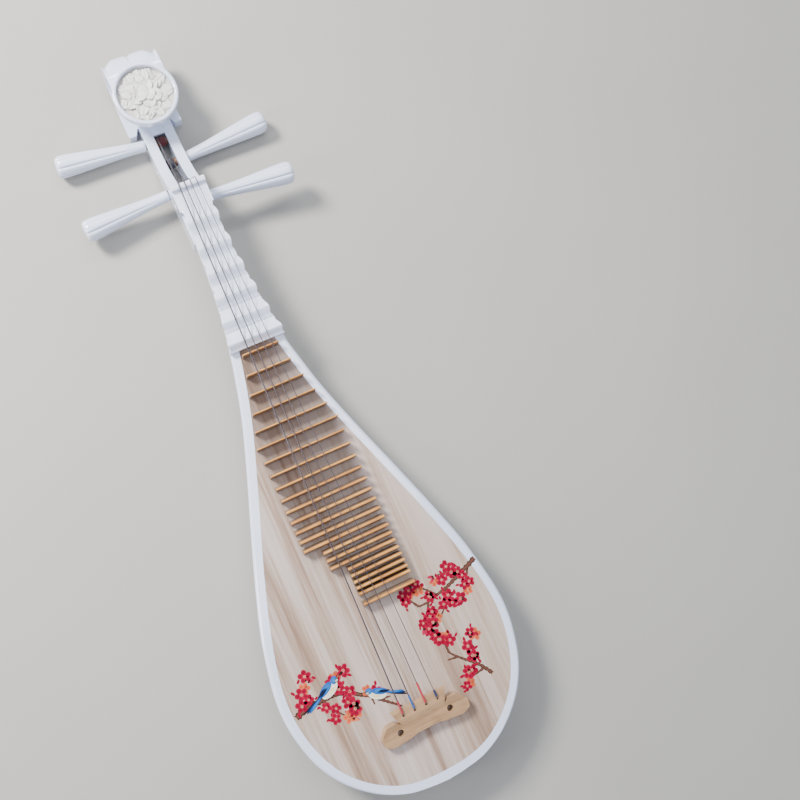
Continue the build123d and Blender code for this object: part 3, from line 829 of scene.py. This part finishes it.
# ------------------------------------------------- plum and birds on the board
BARK, BARK_DARK = (0.15, 0.062, 0.040), (0.035, 0.014, 0.010)
PETAL, PETAL_DEEP, PETAL_RIM = (0.36, 0.0, 0.034), (0.19, 0.0, 0.014), (0.48, 0.03, 0.08)
FAR_PETAL, FAR_DEEP, FAR_RIM = (0.62, 0.14, 0.055), (0.46, 0.06, 0.025), (0.70, 0.25, 0.13)
STAMEN = (0.80, 0.50, 0.30)
BLUE, BLUE_DEEP, BLUE_PALE = (0.012, 0.09, 0.36), (0.003, 0.012, 0.06), (0.035, 0.22, 0.52)
CREAM, YELLOW, BLACK, BEAK = (0.82, 0.80, 0.68), (0.72, 0.60, 0.18), (0.01, 0.01, 0.012), (0.55, 0.36, 0.10)
PAINT_THICKNESS = 0.03


class Brush:
    """Flat strokes of paint, gathered in one mesh with their colours."""

    def __init__(self, level):
        self.bm = bmesh.new()
        self.colour = self.bm.verts.layers.float_color.new("paint")
        self.level, self.stroke_count = level, 0

    def height(self, layer):
        self.stroke_count += 1
        return self.level + 0.012 * (self.stroke_count % 4) + 0.05 * layer

    def dab(self, x, run, length, width, turn, inner, outer, layer=0, point=0.0, segments=12):
        """An oval or leaf-shaped dab; point narrows its far end."""
        made = bmesh.ops.create_circle(self.bm, cap_ends=True, cap_tris=True, segments=segments,
                                       radius=1)["verts"]
        height, c, s = self.height(layer), math.cos(turn), math.sin(turn)
        for v in made:
            centre = v.co.length < 0.1
            along, across = v.co.x * length / 2, v.co.y * width / 2 * (1 - point * (v.co.x + 1) / 2)
            v[self.colour] = (*(inner if centre else outer), 1)
            v.co = spot(x + along * c - across * s, run + along * s + across * c, height)

    def branch(self, points, widths, layer=0, dark=BARK_DARK, light=BARK, steps=7):
        """A tapering stroke along a smooth path, dark at its edges."""
        path = smooth_path([(*p, 0) for p in points], steps)
        grid = bmesh.ops.create_grid(self.bm, x_segments=2, y_segments=len(path) - 1, size=1)["verts"]
        height = self.height(layer)
        for v in grid:
            place = round((v.co.y + 1) / 2 * (len(path) - 1))
            before, after = path[max(place - 1, 0)], path[min(place + 1, len(path) - 1)]
            way = (after - before).normalized()
            share = place / (len(path) - 1)
            knobs = 1 + 0.16 * math.sin(place * 1.9 + points[0][0]) + 0.1 * math.sin(place * 4.3)
            half = (widths[0] + (widths[1] - widths[0]) * share) * 0.62 * knobs + 0.25
            across = v.co.x * half
            v[self.colour] = (*(light if abs(v.co.x) < 0.1 else dark), 1)
            v.co = spot(path[place].x - way.y * across, path[place].y + way.x * across, height)

    def blossom(self, x, run, size, turn, near=True, layer=1):
        """Five petals and a few stamens."""
        inner, outer = (PETAL_DEEP, PETAL) if near else (FAR_DEEP, FAR_PETAL)
        for i in range(5):
            angle = turn + math.tau * i / 5 + CHANCE.uniform(-0.12, 0.12)
            reach = size * CHANCE.uniform(0.60, 0.68)
            tone = CHANCE.uniform(0.8, 1.25)
            rim = tuple(min(c * tone, 1) for c in outer)
            self.dab(x + reach * math.cos(angle), run + reach * math.sin(angle), size * 1.08,
                     size * CHANCE.uniform(0.66, 0.80), angle, inner, rim, layer, -0.35)
        if near:
            for i in range(7):
                angle = turn + math.tau * i / 7
                self.dab(x + size * 0.20 * math.cos(angle), run + size * 0.20 * math.sin(angle),
                         size * 0.30, size * 0.06, angle, STAMEN, STAMEN, layer + 1, segments=5)
            for _ in range(2):  # loose petals turned away from the open bloom
                angle, reach = CHANCE.uniform(0, math.tau), size * CHANCE.uniform(1.25, 1.6)
                self.dab(x + reach * math.cos(angle), run + reach * math.sin(angle), size * 0.85,
                         size * 0.52, angle + CHANCE.uniform(-0.8, 0.8), inner, outer, layer - 1, 0.2)

    def bud(self, x, run, size, turn, near=True):
        inner, outer = (PETAL, PETAL_RIM) if near else (FAR_PETAL, FAR_RIM)
        self.dab(x, run, size * 1.35, size * 0.85, turn, inner, outer, 1, 0.3)
        self.dab(x - size * 0.6 * math.cos(turn), run - size * 0.6 * math.sin(turn), size * 0.6,
                 size * 0.5, turn, BARK_DARK, BARK_DARK, 2, segments=6)

    def finish(self, name):
        bmesh.ops.recalc_face_normals(self.bm, faces=self.bm.faces)
        for face in self.bm.faces:
            if face.normal.z < 0:
                face.normal_flip()
        bmesh.ops.solidify(self.bm, geom=self.bm.faces, thickness=PAINT_THICKNESS * MM)
        return finished(name, self.bm, [PAINT], crease=60)


CHANCE = random.Random(31)
# where each main bough enters, its heading and bend in radians, its length and its width
MAIN_BOUGHS = [((-141, 150), 0.62, -0.75, 150, 6.5), ((143, 232), 3.75, -0.9, 95, 5.0),
               ((104, 92), 2.1, 0.5, 62, 3.6)]
TWIG_SPACING = 17
BOARD_MARGIN = 20


def on_board(x, run):
    """Whether a flower there keeps clear of the rim, the frets and the bridge."""
    for (low, a, _), (high, b, _) in zip(BODY_STATIONS, BODY_STATIONS[1:]):
        if low <= run < high:
            half = a + (b - a) * (run - low) / (high - low) - BOARD_MARGIN
            under_frets, at_bridge = abs(x) < 62 and run > 236, abs(x) < 66 and run < 136
            return abs(x) < half and not under_frets and not at_bridge
    return False


def wandering(start, heading, bend, length):
    """Points of a bough that bends steadily and wavers as it grows."""
    points, steps = [start], max(round(length / 13), 2)
    for _ in range(steps):
        heading += bend / steps + CHANCE.uniform(-0.22, 0.22)
        x, run = points[-1]
        points.append((x + length / steps * math.cos(heading), run + length / steps * math.sin(heading)))
    return points, heading


def grown_plum():
    """Boughs with their widths, and the flowers and buds that sit along the twigs."""
    boughs, flowers, buds = [], [], []
    for start, heading, bend, length, width in MAIN_BOUGHS:
        points, _ = wandering(start, heading, bend, length)
        boughs.append((points, (width, 1.4)))
        count = round(length / TWIG_SPACING)
        for i in range(1, count + 1):
            place = min(round(i / count * (len(points) - 1)), len(points) - 1)
            (x0, r0), (x1, r1) = points[max(place - 1, 0)], points[place]
            side = 1 if i % 2 else -1
            way = math.atan2(r1 - r0, x1 - x0) + side * CHANCE.uniform(0.55, 1.15)
            reach = CHANCE.uniform(24, 46)
            twig, tip_way = wandering((x1, r1), way, side * CHANCE.uniform(-0.7, 0.3), reach)
            twig = [point for j, point in enumerate(twig) if j < 2 or on_board(*point)]
            boughs.append((twig, (2.3, 0.8)))
            for j in range(5):
                x, run = twig[min(1 + j % len(twig), len(twig) - 1)]
                x, run = x + CHANCE.uniform(-9, 9), run + CHANCE.uniform(-9, 9)
                if on_board(x, run):
                    flowers.append((x, run, CHANCE.uniform(5.6, 7.6), j % 3 != 2))
            for _ in range(2):
                turn = tip_way + CHANCE.uniform(-0.8, 0.8)
                x, run = twig[-1][0] + 6 * math.cos(turn), twig[-1][1] + 6 * math.sin(turn)
                if on_board(x, run):
                    buds.append((x, run, turn))
    return boughs, flowers, buds


def paint_bird(brush, x, run, turn, size, tail_turn, tail_length, belly=1):
    """A small blue bird on its perch: tail, body, wing, cap and beak; belly picks its side."""
    def along(out, side):
        c, s = math.cos(turn), math.sin(turn)
        return x + size * (out * c - belly * side * s), run + size * (out * s + belly * side * c)
    tx, ty = along(-0.62, 0.06)
    for i, (tone, edge) in enumerate([(BLUE_DEEP, BLACK), (BLUE, BLUE_DEEP), (BLUE_PALE, BLUE)]):
        angle = tail_turn + 0.09 * (i - 1)
        reach = tail_length * (1 - 0.10 * i) / 2
        brush.dab(tx + reach * math.cos(angle), ty + reach * math.sin(angle), 2 * reach,
                  size * 0.20, angle, tone, edge, 1 + i, 0.35)
    brush.dab(*along(0.0, -0.10), size * 1.30, size * 0.66, turn, CREAM, CREAM, 4, -0.1, 20)
    brush.dab(*along(0.10, -0.24), size * 0.85, size * 0.30, turn - 0.1, YELLOW, CREAM, 5, 0, 16)
    brush.dab(*along(-0.16, 0.12), size * 1.15, size * 0.42, turn + 0.06, BLUE_PALE, BLUE, 6, -0.2, 20)
    for i in range(4):
        brush.dab(*along(-0.30 - 0.07 * i, 0.06 + 0.05 * i), size * 0.74, size * 0.07, turn + 0.1,
                  BLACK, BLUE_DEEP, 7, 0, 8)
    brush.dab(*along(0.62, 0.06), size * 0.50, size * 0.42, turn + 0.5, BLUE_PALE, BLUE, 8, 0, 18)
    brush.dab(*along(0.70, -0.08), size * 0.30, size * 0.20, turn, CREAM, BLACK, 9, 0, 12)
    brush.dab(*along(0.72, 0.02), size * 0.07, size * 0.07, turn, BLACK, BLACK, 10, 0, 8)
    brush.dab(*along(0.95, 0.0), size * 0.30, size * 0.09, turn, BEAK, BLACK, 10, 0.8, 8)
    for side in (0.05, 0.2):  # feet
        brush.dab(*along(-0.05 - side, -0.46), size * 0.26, size * 0.05, turn - 1.4, BLACK, BLACK, 3, 0, 6)


def make_painting():
    boughs, flowers, buds = grown_plum()
    bark = Brush(0.05)
    for points, widths in boughs:
        bark.branch(points, widths)
    bark.finish("painted_boughs")
    bloom = Brush(0.12)
    for near in (False, True):
        for x, run, size, in_front in flowers:
            if in_front == near:
                bloom.blossom(x, run, size, CHANCE.uniform(0, 1.2), near, int(near))
    for x, run, turn in buds:
        bloom.bud(x, run, CHANCE.uniform(4.4, 6.2), turn, CHANCE.random() > 0.2)
    bloom.finish("painted_blossoms")
    birds = Brush(0.30)
    perch, far_perch = boughs[0][0][4], boughs[0][0][9]
    paint_bird(birds, perch[0], perch[1] + 9, math.radians(28), 20, math.radians(205), 30)
    paint_bird(birds, far_perch[0], far_perch[1] + 9, math.radians(152), 18, math.radians(-24), 28, -1)
    birds.finish("painted_birds")


make_painting()

# ------------------------------------------------------------- floor and light
FLOOR_SIZE = 14.0
bm = bmesh.new()
bmesh.ops.create_grid(bm, x_segments=1, y_segments=1, size=FLOOR_SIZE / 2)
mesh = bpy.data.meshes.new("floor")
bm.to_mesh(mesh)
bm.free()
mesh.transform(Matrix.Translation((0, 0, cad_box[0][2])))
floor = linked("floor", mesh)
paper = Finish("pale_paper", Specular_IOR_Level=0.2)
paper_cloud = paper.noise(paper.place(), 3, 2)
paper.feed("Base Color", paper.ramp(paper_cloud, (0.3, (0.40, 0.385, 0.35)), (0.7, (0.42, 0.405, 0.37))))
paper.feed("Roughness", paper.fade(paper_cloud, 0.3, 0.7, 0.75, 0.85))
mesh.materials.append(paper.material)


def softbox(name, place, aim, width, height, watts, colour):
    """An area light at place, turned to aim."""
    data = bpy.data.lights.new(name, "AREA")
    data.shape, data.size, data.size_y = "RECTANGLE", width, height
    data.energy, data.color = watts, colour
    lamp = linked(name, data)
    lamp.location = place
    lamp.rotation_euler = (Vector(aim) - Vector(place)).to_track_quat("-Z", "Y").to_euler()


# The key light comes from the upper left of the view, so shadows fall to the lower right.
softbox("key_softbox", (-0.95, 1.35, 1.5), (0, 0, 0), 0.55, 0.55, 110, (1.0, 0.99, 0.97))
softbox("side_softbox", (-1.7, 0.1, 0.75), (0, 0, 0.05), 0.4, 1.8, 24, (0.93, 0.95, 1.0))
softbox("crest_softbox", (0.35, 1.3, 1.6), (0, 0.2, 0.05), 1.5, 0.12, 14, (0.97, 0.98, 1.0))
softbox("fill_softbox", (1.6, -1.0, 1.3), (0, 0, 0), 1.2, 1.2, 9, (0.80, 0.86, 1.0))
softbox("top_softbox", (0.25, 0.15, 2.3), (0, 0, 0), 1.2, 1.2, 15, (0.95, 0.97, 1.0))
world = bpy.data.worlds.new("studio")
bpy.context.scene.world = world
world.use_nodes = True
world.node_tree.nodes["Background"].inputs[0].default_value = (0.74, 0.80, 1.0, 1)
world.node_tree.nodes["Background"].inputs[1].default_value = 0.55

# --------------------------------------------------------------------- camera
CAMERA_PLACE = Vector((-0.1790, -0.0964, 1.2434))
CAMERA_AIM = Vector((0.0585, -0.0685, 0.0620))
CAMERA_ROLL = math.radians(24.0)
data = bpy.data.cameras.new("camera")
data.sensor_width, data.lens = 36.0, 43.27
data.shift_x, data.shift_y = 0.0625, 0.05
camera = linked("camera", data)
forward = (CAMERA_AIM - CAMERA_PLACE).normalized()
head_way = Vector((0, 1, 0))
up = (head_way - head_way.dot(forward) * forward).normalized()
up.rotate(Matrix.Rotation(CAMERA_ROLL, 4, forward))
right = forward.cross(up)
camera.matrix_world = Matrix.Translation(CAMERA_PLACE) @ Matrix((right, up, -forward)).transposed().to_4x4()
bpy.context.scene.camera = camera
